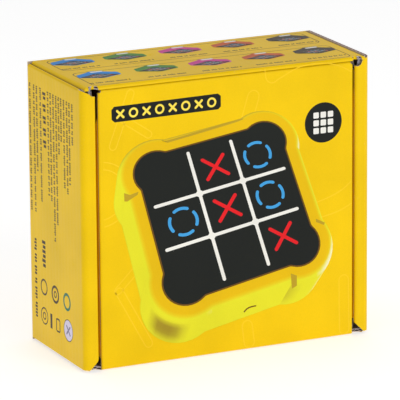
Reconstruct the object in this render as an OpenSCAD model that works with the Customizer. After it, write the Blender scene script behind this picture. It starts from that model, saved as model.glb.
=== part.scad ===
// Boxed electronic tic tac toe game: a printed corrugated mailer carton that stands on its bottom wall, with the
// hand-held nine-key game unit and its leaflet inside. Millimetres. +Z is up, -Y is the front (the lid's side),
// and the origin is on the floor under the middle of the carton.

/* [Carton] */
// Outer width of the carton
carton_w = 130; // [130:1:150]
// Outer height of the carton
carton_h = 119; // [117:1:135]
// Outer depth of the carton
carton_d = 56; // [55:1:70]
// Thickness of the corrugated board
board = 1.5; // [1.2:0.1:1.6]
// Width of the rolled front edge of each double side wall
roll_w = 6.7; // [6.5:0.1:8]
// Slot between the lid and each rolled edge
lid_gap = 0.9; // [0.8:0.1:2]
// How much shorter than the carton the side walls are, at each end
side_short = 1; // [0.8:0.1:2]

/* [Lid] */
// Depth of the lid's side wings
wing_depth = 18; // [10:1:20]
// Depth of the lid's tuck flap
tuck_depth = 12; // [8:1:13]
// Upward slope of the tuck flap, in degrees
tuck_slope = 5; // [5:0.5:7]

/* [Game unit] */
// Half the width of the housing between its corner lobes
body_half = 53; // [52:0.5:53.5]
// Radius of each corner lobe
lobe_r = 22; // [21:0.5:22.5]
// Distance of each corner lobe's centre from the middle, along both axes
lobe_at = 33; // [32:0.5:33]
// Thickness of the unit without its feet
unit_t = 35; // [35:0.5:35.5]
// Depth at which the front and rear housings meet
seam_at = 20; // [20:0.5:21]
// Thickness of the housing walls
wall = 2.2; // [2:0.1:2.4]
// Free space between the carton's front plane and the unit
unit_setback = 14.4; // [14.4:0.1:15]
// Height of the unit above the floor
unit_lift = 1.8; // [1.8:0.1:2.5]

/* [Keys] */
// Distance between key centres
pitch = 26.5; // [26:0.1:26.6]
// Width of a key cap
key_w = 22.8; // [22:0.1:23]
// Width of the white lines
line_w = 2.4; // [2:0.1:2.6]
// Length of each white line
line_len = 79; // [76:1:80]

/* [Hidden] */
$fn = 64;

// Carton places
front = -carton_d / 2;
back = carton_d / 2;
half_w = carton_w / 2;
lid_half = half_w - roll_w - lid_gap;
crease = 0.15;                    // slack at the lid's fold
hinge_z = carton_h - board - crease;
lid_foot = 0.3;                   // the lid stops this far above the floor
flap_play = 0.3;                  // slack at the tuck flap's fold
wall_play = 0.2;                  // play between panels that only touch
side_inset = board + wall_play;   // where the top and bottom walls stop, so that the side walls pass outside them
right_rise = 0.9;                 // the right side wall comes up level with the top wall
top_relief = [5.7, 1.9, 2.1];     // relief at the upper front corners: in from the side, down, and radius
bottom_relief = [5, 3];           // and at the lower ones: in from the side, and radius
mitre_top = 3.3;                  // how far the rolled edge is cut back at its upper inner corner
mitre_bottom = 4.1;               // and at its lower inner corner, both ways
ear_len = 40;
wing_root_top = 12;               // the wing starts this far under the hinge
wing_root_bottom = 5;
tab_w = 14;                       // locking tabs of the inner walls
tab_z = [36, 80];
flap_half = lid_half - board - 1.5;
leaflet_t = 1.2;                  // a folded leaflet
leaflet_play = 0.3;

// Game unit places, in the unit's own frame: x right, y up its face, z the depth behind its front rim
unit_mid_z = unit_lift + lobe_at + lobe_r;
rim_r = 5.5;                      // rounding of the front rim
back_r = 3.5;                     // rounding of the rear edge
seam_r = 0.5;
plate_half = 44;                  // the black face plate
plate_lobe_at = 33.4;
plate_lobe_r = 13;
plate_front = 1;
plate_back = 3;
ledge = 1.6;                      // the ledge that the face plate is glued to
window_w = key_w + 0.6;
cap_front = 0.8;
cap_r = 1.8;
flange_w = key_w + 2;
flange_front = plate_back + 0.1;
flange_back = 4;
stem_r = 2.2;
stem_back = 8;
mark_t = 0.6;                     // depth of the inlaid crosses and rings
mark_w = 2.1;
cross_half = 6.3;
ring_r = 7.9;
ring_dash = 56;                   // angle covered by each of a ring's four dashes
board_front = 13.6;               // the circuit board
board_t = 1.6;
board_half = 43;
boss_at = 43.4;                   // housing screws
boss_r = 3.4;
boss_hole_r = 1.22;
head_seat = 28;
cell_wall = 1.2;                  // the reflector's walls
reflector_front = 5.5;
rib_inner = 41.6;                 // ribs that clamp the circuit board
rib_root = body_half - wall / 2;  // the ribs join the walls there
tub_half = 27;                    // battery compartment
tub_top = -3;
tub_bottom = -37;
tub_floor = 20.5;
battery_r = 5.2;
battery_len = 44;
battery_shift = 3.4;              // how far a cell sits towards its positive plate
battery_pitch = 11.2;
door_half = 30;
door_top = -1;
door_bottom = -44;
door_front = unit_t - 1.95;
door_screw_y = -40.5;
speaker_y = 22;
speaker_r = 14;
slider_x = 15;
slider_travel = 4;
slider_depth = 27;

// Puts the unit's own frame into the carton: x stays, y becomes up and z becomes the depth.
module stand_up() {
  translate([0, front + unit_setback, unit_mid_z]) mirror([0, 0, 1]) rotate([-90, 0, 0]) children();
}

// A solid from depth a to depth b over a flat outline
module slab(a, b) {
  translate([0, 0, a]) linear_extrude(b - a) children();
}

// A centred square with round corners
module round_square(w, r) {
  square([w, w - 2 * r], center = true);
  square([w - 2 * r, w], center = true);
  for (sx = [-1, 1], sy = [-1, 1]) translate([sx * (w / 2 - r), sy * (w / 2 - r)]) circle(r);
}

// A rounded stroke from a to b
module stroke(a, b, w) {
  span = b - a;
  translate((a + b) / 2) rotate(atan2(span[1], span[0])) square([norm(span), w], center = true);
  for (p = [a, b]) translate(p) circle(w / 2);
}

// The lobed outline: straight sides at half, and a round lobe at each corner
module lobed(half, at, r) {
  square([2 * half, 2 * at], center = true);
  square([2 * at, 2 * half], center = true);
  for (sx = [-1, 1], sy = [-1, 1]) translate([sx * at, sy * at]) circle(r);
}

// Half a section: x from 0 to half, y from a to b, with its outer corners rounded by ra and rb
module half_section(half, a, b, ra, rb) {
  translate([0, a]) square([half - ra, ra + 0.001]);
  translate([0, a + ra]) square([half, b - a - ra - rb]);
  translate([0, b - rb - 0.001]) square([half - rb, rb + 0.001]);
  intersection() {
    union() {
      translate([half - ra, a + ra]) circle(ra);
      translate([half - rb, b - rb]) circle(rb);
    }
    translate([0, a]) square([half, b - a]);
  }
}

// The lobed housing from depth a to depth b, with rounded edges
module lobed_body(a, b, ra, rb) {
  for (turn = [0, 90]) rotate(turn) translate([0, lobe_at, 0]) rotate([90, 0, 0]) linear_extrude(2 * lobe_at) {
    half_section(body_half, a, b, ra, rb);
    mirror([1, 0]) half_section(body_half, a, b, ra, rb);
  }
  for (sx = [-1, 1], sy = [-1, 1]) translate([sx * lobe_at, sy * lobe_at, 0])
    rotate_extrude($fn = 96) half_section(lobe_r, a, b, ra, rb);
}

// A board panel in the XZ plane from depth y, drawn as a flat outline
module upright(y, t = board) {
  translate([0, y + t, 0]) rotate([90, 0, 0]) linear_extrude(t) children();
}

// A board panel in the YZ plane whose inner or outer face is at x, drawn as an outline of (y, z)
module sideways(x, t = board) {
  translate([x, 0, 0]) rotate([90, 0, 90]) linear_extrude(t) children();
}

// ---- Carton ----

// The base panel's section across its width w: the folds at both ends are rounded on the outside
module folded_section(w) {
  translate([-w / 2 + board, 0]) square([w - 2 * board, board]);
  for (s = [-1, 1]) intersection() {
    translate([s * (w / 2 - board), 0]) circle(board);
    translate([s * w / 2 - (s + 1) / 2 * board, 0]) square(board);
  }
}

module base_panel() color("gold") difference() {
  intersection() {
    translate([0, back - board, 0]) linear_extrude(carton_h) folded_section(carton_w);
    translate([-half_w, back - board, carton_h / 2]) rotate([90, 0, 90]) linear_extrude(carton_w)
      rotate(90) mirror([0, 1]) folded_section(carton_h);
  }
  for (s = [-1, 1], z = tab_z)
    translate([s * (half_w - roll_w + board / 2) - board / 2 - wall_play, back - board - 1, z - tab_w / 2 - wall_play])
      cube([board + 2 * wall_play, board + 2, tab_w + 2 * wall_play]);
}

module top_wall() color("goldenrod") difference() {
  translate([-half_w + side_inset, 0, 0]) rotate([90, 0, 90]) linear_extrude(carton_w - 2 * side_inset) {
    translate([front + board, carton_h - board]) square([carton_d - 2 * board, board]);
    intersection() {
      translate([front + board, carton_h - board]) circle(board);
      translate([front, carton_h - board]) square([board, board]);
    }
  }
  for (s = [-1, 1]) translate([s * (half_w - top_relief[0]), front + 0.3, carton_h - board - 1])
    cylinder(r = top_relief[2], h = board + 2);
}

module bottom_wall() color("goldenrod") difference() {
  translate([-half_w + side_inset, front + side_inset, 0])
    cube([carton_w - 2 * side_inset, carton_d - side_inset - board, board]);
  for (s = [-1, 1]) translate([s * (half_w - bottom_relief[0]), front + 0.3, -1])
    cylinder(r = bottom_relief[1], h = board + 2);
}

// The upper end of the side wall at s (-1 left, 1 right)
function side_top(s) = carton_h - side_short + (s > 0 ? right_rise : 0);

// The outer wall of the side at s
module outer_wall(s) color("gold")
  translate([s * half_w - (s + 1) / 2 * board, front + board, side_short])
    cube([board, carton_d - 2 * board, side_top(s) - side_short]);

// The rolled front edge of a double side wall, with its ends cut on a slant and its outer corner rounded
module rolled_edge(s) color("yellow") mirror([s > 0 ? 1 : 0, 0, 0]) intersection() {
  upright(front) difference() {
    polygon([
      [-half_w, side_short], [-half_w + roll_w - mitre_bottom, side_short], [-half_w + roll_w, side_short + mitre_bottom],
      [-half_w + roll_w, side_top(s) - mitre_top], [-half_w, side_top(s)]
    ]);
    translate([-half_w + top_relief[0], carton_h - top_relief[1]]) circle(top_relief[2]);
  }
  linear_extrude(carton_h) {
    translate([-half_w + board, front]) square([roll_w - board, board]);
    translate([-half_w + board, front + board]) circle(board);
  }
}

module inner_wall(s) color("khaki") {
  inner_top = carton_h - board - wall_play;
  tab_reach = back - wall_play;
  sideways(s > 0 ? half_w - roll_w : -half_w + roll_w - board) union() {
    translate([front + board, board + wall_play]) square([carton_d - 2 * board, inner_top - board - wall_play]);
    for (z = tab_z) translate([back - board - 1, z - tab_w / 2]) square([tab_reach - back + board + 1, tab_w]);
  }
}

// A corner flap folded down inside a double side wall: s is the side, and upper says which wall it hangs from
module ear(s, upper) color("khaki") {
  root = upper ? carton_h - board : board;
  tip = upper ? root - ear_len : root + ear_len;
  low = min(root, tip);
  slack = 0.1;
  sideways(s > 0 ? half_w - 2 * board - slack : -half_w + board + slack) difference() {
    translate([front + 4, low]) square([carton_d - 7, ear_len]);
    for (y = [front + 4, back - 3]) translate([y, tip]) rotate(45) square(9, center = true);
  }
}

// ---- Lid ----

module lid_panel() color("gold") upright(front) difference() {
  translate([-lid_half, lid_foot]) square([2 * lid_half, hinge_z - lid_foot]);
  for (s = [-1, 1]) translate([s * lid_half, hinge_z]) circle(1.4);
}

module lid_wing(s) color("gold") {
  root_top = hinge_z - wing_root_top;
  inner = front + board;
  sideways(s > 0 ? lid_half - board : -lid_half) polygon([
    [inner, wing_root_bottom], [inner + wing_depth * 0.6, wing_root_bottom + 3], [inner + wing_depth, wing_root_bottom + 9],
    [inner + wing_depth, root_top - wing_depth - 1], [inner + wing_depth - 2, root_top - wing_depth + 1],
    [inner, root_top]
  ]);
}

module tuck_flap() color("gold")
  translate([0, front + board + flap_play, board + wall_play]) rotate([tuck_slope, 0, 0]) linear_extrude(board) {
    corner_r = 5;
    translate([-flap_half, 0]) square([2 * flap_half, tuck_depth - corner_r]);
    translate([-flap_half + corner_r, 0]) square([2 * (flap_half - corner_r), tuck_depth]);
    for (s = [-1, 1]) translate([s * (flap_half - corner_r), tuck_depth - corner_r]) circle(corner_r);
  }

module leaflet() color("white")
  translate([-48, back - board - leaflet_play - leaflet_t, board + leaflet_play]) cube([96, leaflet_t, 98]);

// ---- Housing of the game unit ----

module four_bosses() {
  for (sx = [-1, 1], sy = [-1, 1]) translate([sx * boss_at, sy * boss_at, 0]) children();
}

// Ribs on the middles of the four sides, from depth a to depth b and out to a distance of reach
module board_ribs(a, b, reach) {
  for (turn = [0 : 90 : 270]) rotate(turn) translate([-4, rib_inner, a]) cube([8, reach - rib_inner, b - a]);
}

module front_housing() color("gold") stand_up() difference() {
  union() {
    difference() {
      lobed_body(0, seam_at, rim_r, seam_r);
      slab(plate_back + ledge, seam_at + 1) lobed(body_half - wall, lobe_at, lobe_r - wall);
    }
    four_bosses() slab(plate_back + 1, seam_at) circle(boss_r);
    board_ribs(plate_back + 1, board_front, rib_root);
  }
  slab(-1, plate_back) lobed(plate_half + 0.15, plate_lobe_at, plate_lobe_r + 0.15);
  slab(plate_back - 0.1, plate_back + ledge + 0.1) lobed(plate_half - 2, plate_lobe_at - 2, plate_lobe_r);
  four_bosses() slab(10, seam_at + 1) circle(boss_hole_r);
  // Finger notch in the middle of the lower side, at the seam
  translate([0, -body_half - 6.6, seam_at]) rotate([90, 0, 0]) cylinder(r = 7, h = 16, center = true);
}

module rear_housing() color("gold") stand_up() difference() {
  union() {
    difference() {
      lobed_body(seam_at, unit_t, seam_r, back_r);
      slab(seam_at - 1, unit_t - wall) lobed(body_half - wall, lobe_at, lobe_r - wall);
    }
    four_bosses() slab(seam_at, unit_t - 1) circle(boss_r);
    board_ribs(seam_at, unit_t - 1, rib_root);
    board_ribs(board_front + board_t, seam_at + 1, body_half - wall - 0.2);
    translate([-tub_half - 1.5, tub_bottom - 1.5, tub_floor - 1.5])
      cube([2 * tub_half + 3, tub_top - tub_bottom + 3, unit_t - tub_floor]);
    translate([-door_half - 2, door_bottom - 2, unit_t - 4]) cube([2 * door_half + 4, door_top - door_bottom + 4, 3]);
    translate([0, door_screw_y, 0]) slab(24, unit_t - 2) circle(3);
  }
  translate([-tub_half, tub_bottom, tub_floor]) cube([2 * tub_half, tub_top - tub_bottom, unit_t]);
  translate([-door_half - 0.2, door_bottom - 0.2, unit_t - 2])
    cube([2 * door_half + 0.4, door_top - door_bottom + 0.4, 4]);
  translate([0, door_screw_y, 0]) slab(26, unit_t) circle(1.06);
  four_bosses() {
    slab(seam_at - 1, unit_t) circle(1.4);
    slab(head_seat, unit_t + 1) circle(2.9);
  }
  // Sound holes
  translate([0, speaker_y, 0]) slab(unit_t - wall - 1, unit_t + 1) {
    circle(0.9);
    for (ring = [1, 2, 3], i = [0 : 6 * ring - 1]) rotate(i * 60 / ring) translate([3.2 * ring, 0]) circle(0.9);
  }
  // Slot of the power slider
  translate([slider_x - 2.7, body_half - wall - 1, slider_depth - 1.6]) cube([5.4 + slider_travel, wall + 2, 3.2]);
}

// ---- Face ----

module face_plate() color("black") stand_up() difference() {
  slab(plate_front, plate_back) lobed(plate_half, plate_lobe_at, plate_lobe_r);
  for (i = [-1 : 1], j = [-1 : 1]) translate([i * pitch, j * pitch, 0]) slab(0, 4) round_square(window_w, cap_r + 0.3);
  slab(0, 1.6) line_outline();
}

module line_outline() {
  reach = line_len / 2 - line_w / 2;
  for (s = [-1, 1]) {
    stroke([s * pitch / 2, -reach], [s * pitch / 2, reach], line_w);
    stroke([-reach, s * pitch / 2], [reach, s * pitch / 2], line_w);
  }
}

module grid_lines() color("white") stand_up() slab(0.6, 1.6) line_outline();

module cross_outline() {
  for (s = [-1, 1]) stroke([-cross_half, s * cross_half], [cross_half, -s * cross_half], mark_w);
}

// Four dashes of a ring, centred on the ring's right, top, left and bottom
module ring_outline() {
  reach = 2 * ring_r;
  for (turn = [0 : 90 : 270]) rotate(turn) {
    intersection() {
      difference() {
        circle(ring_r + mark_w / 2);
        circle(ring_r - mark_w / 2);
      }
      polygon([[0, 0], [reach, -reach * tan(ring_dash / 2)], [reach, reach * tan(ring_dash / 2)]]);
    }
    for (s = [-1, 1]) rotate(s * ring_dash / 2) translate([ring_r, 0]) circle(mark_w / 2);
  }
}

// A key cap with its flange and stem. A key that shows a mark has the mark's outline cut into its face.
module key(col, row, mark = "none") color("black") stand_up() translate([col * pitch, row * pitch, 0]) difference() {
  union() {
    slab(cap_front, flange_front + 0.1) round_square(key_w, cap_r);
    slab(flange_front, flange_back) round_square(flange_w, 1);
    slab(flange_back - 0.1, stem_back) circle(stem_r);
  }
  if (mark == "cross") slab(0, cap_front + mark_t) cross_outline();
  if (mark == "ring") slab(0, cap_front + mark_t) ring_outline();
}

module cross_mark(col, row) color("red") stand_up() translate([col * pitch, row * pitch, 0])
  slab(cap_front, cap_front + mark_t) cross_outline();

module ring_mark(col, row) color("deepskyblue") stand_up() translate([col * pitch, row * pitch, 0])
  slab(cap_front, cap_front + mark_t) ring_outline();

// ---- Electronics ----

module every_cell() {
  for (i = [-1 : 1], j = [-1 : 1]) translate([i * pitch, j * pitch, 0]) children();
}

module every_post() {
  for (sx = [-1, 1], sy = [-1, 1]) translate([sx * pitch / 2, sy * pitch / 2, 0]) children();
}

module reflector_frame() color("whitesmoke") stand_up() difference() {
  union() {
    slab(reflector_front, board_front) difference() {
      square(3 * pitch + cell_wall, center = true);
      for (i = [-1 : 1], j = [-1 : 1]) translate([i * pitch, j * pitch]) square(pitch - cell_wall, center = true);
    }
    every_post() slab(reflector_front, board_front) circle(2);
  }
  every_post() slab(8, board_front + 1) circle(0.9);
}

module circuit_board() color("darkgreen") stand_up() slab(board_front, board_front + board_t) difference() {
  square(2 * board_half, center = true);
  for (sx = [-1, 1], sy = [-1, 1]) {
    translate([sx * boss_at, sy * boss_at]) circle(boss_r + 0.8);
    translate([sx * pitch / 2, sy * pitch / 2]) circle(1.1);
  }
}

module tact_switches() color("dimgray") stand_up() every_cell() {
  slab(board_front - 3.2, board_front) square(6, center = true);
  slab(stem_back + 1.05, board_front - 3.1) circle(1.6);
}

module leds(places) {
  stand_up() every_cell() for (p = places)
    translate([p[0], p[1], 0]) slab(board_front - 0.6, board_front) square([1.6, 0.8], center = true);
}

module red_leds() color("red") leds([for (sx = [-1, 1], sy = [-1, 1]) [sx * 5, sy * 5]]);

module blue_leds() color("blue") leds([[ring_r, 0], [0, ring_r], [-ring_r, 0], [0, -ring_r]]);

module controller_chip() color("black") stand_up() slab(board_front + board_t, board_front + board_t + 1.2)
  square(14, center = true);

module board_screws() color("silver") stand_up() every_post() {
  slab(9, board_front + board_t + 0.1) circle(0.88);
  slab(board_front + board_t, board_front + board_t + 1.2) circle(1.9);
}

module speaker() color("dimgray") stand_up() translate([0, speaker_y, 0]) {
  slab(unit_t - wall - 1.2, unit_t - wall) difference() {
    circle(speaker_r);
    circle(speaker_r - 2);
  }
  slab(unit_t - wall - 4.6, unit_t - wall - 1.2) circle(speaker_r - 1);
  slab(unit_t - wall - 6.8, unit_t - wall - 4.5) circle(8);
}

// One of the three cells, whose positive end points to its own right; the middle one is turned round
module battery_place(i) {
  translate([0, (tub_top + tub_bottom) / 2 + (i - 1) * battery_pitch, tub_floor + 0.3 + battery_r])
    rotate([0, 90, i == 1 ? 180 : 0]) children();
}

module batteries() color("darkslategray") stand_up() for (i = [0 : 2]) battery_place(i) {
  translate([0, 0, battery_shift]) {
    cylinder(r = battery_r, h = battery_len, center = true);
    cylinder(r = 1.9, h = battery_len / 2 + 0.8);
  }
}

module battery_springs() color("silver") stand_up() for (i = [0 : 2]) battery_place(i)
  translate([0, 0, -tub_half + 0.6]) cylinder(r1 = 4, r2 = 2, h = tub_half - battery_len / 2 + battery_shift - 0.7);

module battery_plates() color("silver") stand_up() for (i = [0 : 2], s = [-1, 1]) battery_place(i)
  translate([0, 0, s * (tub_half - 0.3)]) cube([8, 9, 0.5], center = true);

module battery_door() color("gold") stand_up() difference() {
  translate([-door_half, door_bottom, door_front]) cube([2 * door_half, door_top - door_bottom, unit_t - door_front]);
  translate([0, door_screw_y, 0]) {
    slab(30, unit_t + 1) circle(1.3);
    slab(unit_t - 1.2, unit_t + 1) circle(2.6);
  }
  // Finger grooves
  for (i = [0 : 3]) translate([-9, door_top - 5 - 2 * i, unit_t - 0.5]) cube([18, 0.9, 2]);
}

module door_screw() color("silver") stand_up() translate([0, door_screw_y, 0]) difference() {
  union() {
    slab(28, unit_t - 1.1) circle(1);
    slab(unit_t - 1.2, unit_t - 0.1) circle(2.4);
  }
  for (turn = [0, 90]) rotate(turn) translate([-1.6, -0.35, unit_t - 0.7]) cube([3.2, 0.7, 2]);
}

module housing_screws() color("silver") stand_up() four_bosses() difference() {
  union() {
    slab(12, head_seat + 0.1) circle(1.2);
    slab(head_seat, head_seat + 2) circle(2.7);
  }
  for (turn = [0, 90]) rotate(turn) translate([-1.8, -0.4, head_seat + 1.2]) cube([3.6, 0.8, 2]);
}

module power_slider() color("black") stand_up() translate([slider_x, 0, slider_depth]) {
  translate([-2.5, body_half - wall - 1, -1.4]) cube([5, wall + 1.9, 2.8]);
  translate([-5, body_half - wall - 1.5, -2.8]) cube([10, 1.4, 5.6]);
}

module switch_body() color("silver") stand_up()
  translate([slider_x + slider_travel / 2 - 7, body_half - wall - 7.6, slider_depth - 3.5]) cube([14, 6, 7]);

module rubber_feet() color("dimgray") stand_up() for (sx = [-1, 1], sy = [-1, 1])
  translate([sx * 42, sy * 25, 0]) slab(unit_t, unit_t + 1) circle(4);

// ---- What is drawn ----

base_panel();
top_wall();
bottom_wall();
outer_wall(-1);  // left_outer_wall
rolled_edge(-1);  // left_rolled_edge
inner_wall(-1);  // left_inner_wall
outer_wall(1);  // right_outer_wall
rolled_edge(1);  // right_rolled_edge
inner_wall(1);  // right_inner_wall
ear(-1, true);  // top_left_ear
ear(1, true);  // top_right_ear
ear(-1, false);  // bottom_left_ear
ear(1, false);  // bottom_right_ear
lid_panel();
lid_wing(-1);  // lid_left_wing
lid_wing(1);  // lid_right_wing
tuck_flap();
leaflet();
front_housing();
rear_housing();
face_plate();
grid_lines();
key(-1, 1);  // key_top_left
key(0, 1, "cross");  // key_top_middle
key(1, 1, "ring");  // key_top_right
key(-1, 0, "ring");  // key_middle_left
key(0, 0, "cross");  // key_centre
key(1, 0, "ring");  // key_middle_right
key(-1, -1);  // key_bottom_left
key(0, -1);  // key_bottom_middle
key(1, -1, "cross");  // key_bottom_right
cross_mark(0, 1);  // cross_top_middle
cross_mark(0, 0);  // cross_centre
cross_mark(1, -1);  // cross_bottom_right
ring_mark(1, 1);  // ring_top_right
ring_mark(-1, 0);  // ring_middle_left
ring_mark(1, 0);  // ring_middle_right
reflector_frame();
circuit_board();
tact_switches();
red_leds();
blue_leds();
controller_chip();
board_screws();
speaker();
batteries();
battery_springs();
battery_plates();
battery_door();
door_screw();
housing_screws();
power_slider();
switch_body();
rubber_feet();
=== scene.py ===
"""Looks of a boxed tic tac toe game: a printed mailer carton with a hand-held game unit inside.

Drawing is done in millimetres, and MM turns it into the scene's metres. A print is laid out on a panel in
millimetres to the right and down from the panel's upper left corner, with a height above the panel.
"""
import math
import random

import bmesh
import bpy
from mathutils import Matrix, Vector


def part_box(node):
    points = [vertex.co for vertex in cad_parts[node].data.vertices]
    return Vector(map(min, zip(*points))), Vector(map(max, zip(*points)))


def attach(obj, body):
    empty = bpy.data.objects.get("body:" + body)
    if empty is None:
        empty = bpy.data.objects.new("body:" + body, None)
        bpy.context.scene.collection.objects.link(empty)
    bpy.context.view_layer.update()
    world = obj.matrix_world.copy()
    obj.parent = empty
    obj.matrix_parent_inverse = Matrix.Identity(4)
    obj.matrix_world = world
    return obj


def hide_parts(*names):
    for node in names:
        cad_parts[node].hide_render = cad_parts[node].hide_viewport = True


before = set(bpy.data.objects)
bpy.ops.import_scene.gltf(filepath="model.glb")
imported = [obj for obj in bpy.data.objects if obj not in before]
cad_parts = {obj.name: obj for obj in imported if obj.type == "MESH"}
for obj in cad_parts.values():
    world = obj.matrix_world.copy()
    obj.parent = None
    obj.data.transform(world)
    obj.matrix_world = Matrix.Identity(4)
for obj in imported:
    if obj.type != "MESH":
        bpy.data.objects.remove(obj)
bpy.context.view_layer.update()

MM = 0.001
BOARD = 1.5          # thickness of the corrugated board
LINER = 0.36         # thickness of each of its two liners
FLUTE_PITCH = 3.2
LIP = 4.0            # how deep the open flutes of a raw edge are modelled
INK_ROOM = 0.1       # the printed surface lies this far under the board's outermost plane
FACE = BOARD - INK_ROOM
FOLD_RADIUS = 1.25
HALF_WIDTH, HALF_DEPTH, HEIGHT = 65, 28, 119       # of the closed carton
KEY_PITCH = 26.5     # from one key of the game to the next

X, Y, Z = Vector((1, 0, 0)), Vector((0, 1, 0)), Vector((0, 0, 1))


# ---------------------------------------------------------------- outlines, in millimetres

def on_arc(cx, cy, r, start, stop, steps):
    """Points on an arc, ends included. Angles are in degrees."""
    angles = [math.radians(start + (stop - start) * i / steps) for i in range(steps + 1)]
    return [(cx + r * math.cos(a), cy + r * math.sin(a)) for a in angles]


def disc(cx, cy, r, steps=40):
    return on_arc(cx, cy, r, 0, 360, steps)[:-1]


def rectangle(x0, y0, x1, y1):
    return [(x0, y0), (x1, y0), (x1, y1), (x0, y1)]


def round_box(x0, y0, x1, y1, r, steps=6):
    corners = [(x1 - r, y1 - r, 0), (x0 + r, y1 - r, 90), (x0 + r, y0 + r, 180), (x1 - r, y0 + r, 270)]
    return [p for cx, cy, a in corners for p in on_arc(cx, cy, r, a, a + 90, steps)]


def capsule(a, b, width, steps=7):
    """A stroke with round ends."""
    turn = math.degrees(math.atan2(b[1] - a[1], b[0] - a[0]))
    return (on_arc(b[0], b[1], width / 2, turn - 90, turn + 90, steps)
            + on_arc(a[0], a[1], width / 2, turn + 90, turn + 270, steps))


def dash(cx, cy, r, width, start, stop, steps=10):
    """A stretch of a ring with round ends."""
    half = width / 2
    ends = [(cx + r * math.cos(math.radians(a)), cy + r * math.sin(math.radians(a))) for a in (start, stop)]
    return (on_arc(cx, cy, r + half, start, stop, steps)
            + on_arc(*ends[1], half, stop, stop + 180, 6)[1:-1]
            + on_arc(cx, cy, r - half, stop, start, steps)
            + on_arc(*ends[0], half, start + 180, start + 360, 6)[1:-1])


def lobed(half, at, r, fillet=1.5, steps=14):
    """Straight sides at half, a round lobe at each corner, and small fillets where they meet."""
    neck = math.sqrt((r + fillet) ** 2 - (half + fillet - at) ** 2)
    lean = math.degrees(math.atan2(neck, half + fillet - at))
    corner = (on_arc(half + fillet, at - neck, fillet, 180, 180 - lean, 4)
              + on_arc(at, at, r, -lean, 90 + lean, steps)[1:-1]
              + on_arc(at - neck, half + fillet, fillet, lean - 90, -90, 4))
    points = []
    for quarter in range(4):
        c, s = [(1, 0), (0, 1), (-1, 0), (0, -1)][quarter]
        points += [(x * c - y * s, x * s + y * c) for x, y in corner]
    return points


def outward(outline):
    """The unit normals of a counter-clockwise outline, one at each point."""
    normals = []
    for i in range(len(outline)):
        before, after = Vector(outline[i - 1]), Vector(outline[(i + 1) % len(outline)])
        along = (after - before).normalized()
        normals.append(Vector((along.y, -along.x)))
    return normals


# ---------------------------------------------------------------- mesh building

def join_rings(bm, rings, closed_ends=True):
    """Quads between rings of vertices, and a cap at each end."""
    count = len(rings[0])
    for low, high in zip(rings, rings[1:]):
        for i in range(count):
            j = (i + 1) % count
            yield bm.faces.new((low[i], low[j], high[j], high[i]))
    if closed_ends:
        yield bm.faces.new(list(reversed(rings[0])))
        yield bm.faces.new(rings[-1])


def add_slab(bm, outline, low, high, folds="", radius=FOLD_RADIUS, size=None):
    """A closed slab over an outline. Its upper edge is rounded on the sides that folds names: l, r, b and t.

    size is the panel's width and height. Returns the sides, the rounded faces, the lower and the upper face.
    """
    def ring(height, inset):
        inset += INK_ROOM
        points = []
        for x, y in outline:
            if "l" in folds:
                x = max(x, inset)
            if "r" in folds:
                x = min(x, size[0] - inset)
            if "b" in folds:
                y = max(y, inset)
            if "t" in folds:
                y = min(y, size[1] - inset)
            points.append(bm.verts.new((x, y, height)))
        return points

    levels = [(low, 0)]
    if folds:
        steps = 5
        for i in range(steps + 1):
            angle = math.pi / 2 * i / steps
            levels.append((high - radius + radius * math.sin(angle), radius * (1 - math.cos(angle))))
    else:
        levels.append((high, 0))
    faces = list(join_rings(bm, [ring(*level) for level in levels]))
    count = len(outline)
    return faces[:count], faces[count:-2], faces[-2], faces[-1]


def add_band(bm, path, width, low, high, closed=False):
    """A closed strip of a given width along a path."""
    rings = []
    for i, point in enumerate(path):
        before = path[i - 1] if closed or i else point
        after = path[(i + 1) % len(path)] if closed or i < len(path) - 1 else point
        along = (Vector(after) - Vector(before)).normalized()
        side = Vector((-along.y, along.x)) * width / 2
        left, right = Vector(point) + side, Vector(point) - side
        corners = ((*left, low), (*right, low), (*right, high), (*left, high))
        rings.append([bm.verts.new(p) for p in corners])
    if closed:
        rings.append(rings[0])
    list(join_rings(bm, rings, closed_ends=not closed))


def finish_piece(name, bm, body, materials, replaces=(), plane=None, swap=False):
    """Makes a piece from a mesh drawn in millimetres. The attribute "panel" keeps its drawing coordinates."""
    bmesh.ops.recalc_face_normals(bm, faces=bm.faces)
    if plane and plane.determinant() < 0:
        bmesh.ops.reverse_faces(bm, faces=bm.faces)
    layer = bm.verts.layers.float_vector.get("panel")
    if not layer:
        layer = bm.verts.layers.float_vector.new("panel")
        for v in bm.verts:
            v[layer] = v.co.yxz if swap else v.co
    for v in bm.verts:
        v.co = (plane @ v.co if plane else v.co) * MM
    for f in bm.faces:
        f.smooth = True
    mesh = bpy.data.meshes.new(name)
    bm.to_mesh(mesh)
    bm.free()
    mesh.set_sharp_from_angle(angle=math.radians(35))
    for material in materials:
        mesh.materials.append(material)
    piece = bpy.data.objects.new(name, mesh)
    bpy.context.collection.objects.link(piece)
    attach(piece, body)
    if replaces:
        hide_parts(*replaces)


# ---------------------------------------------------------------- materials

def linear(red, green, blue):
    """A colour given as 0 to 255 display values."""
    def channel(value):
        value /= 255
        return value / 12.92 if value <= 0.04045 else ((value + 0.055) / 1.055) ** 2.4
    return (channel(red), channel(green), channel(blue), 1.0)


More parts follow.
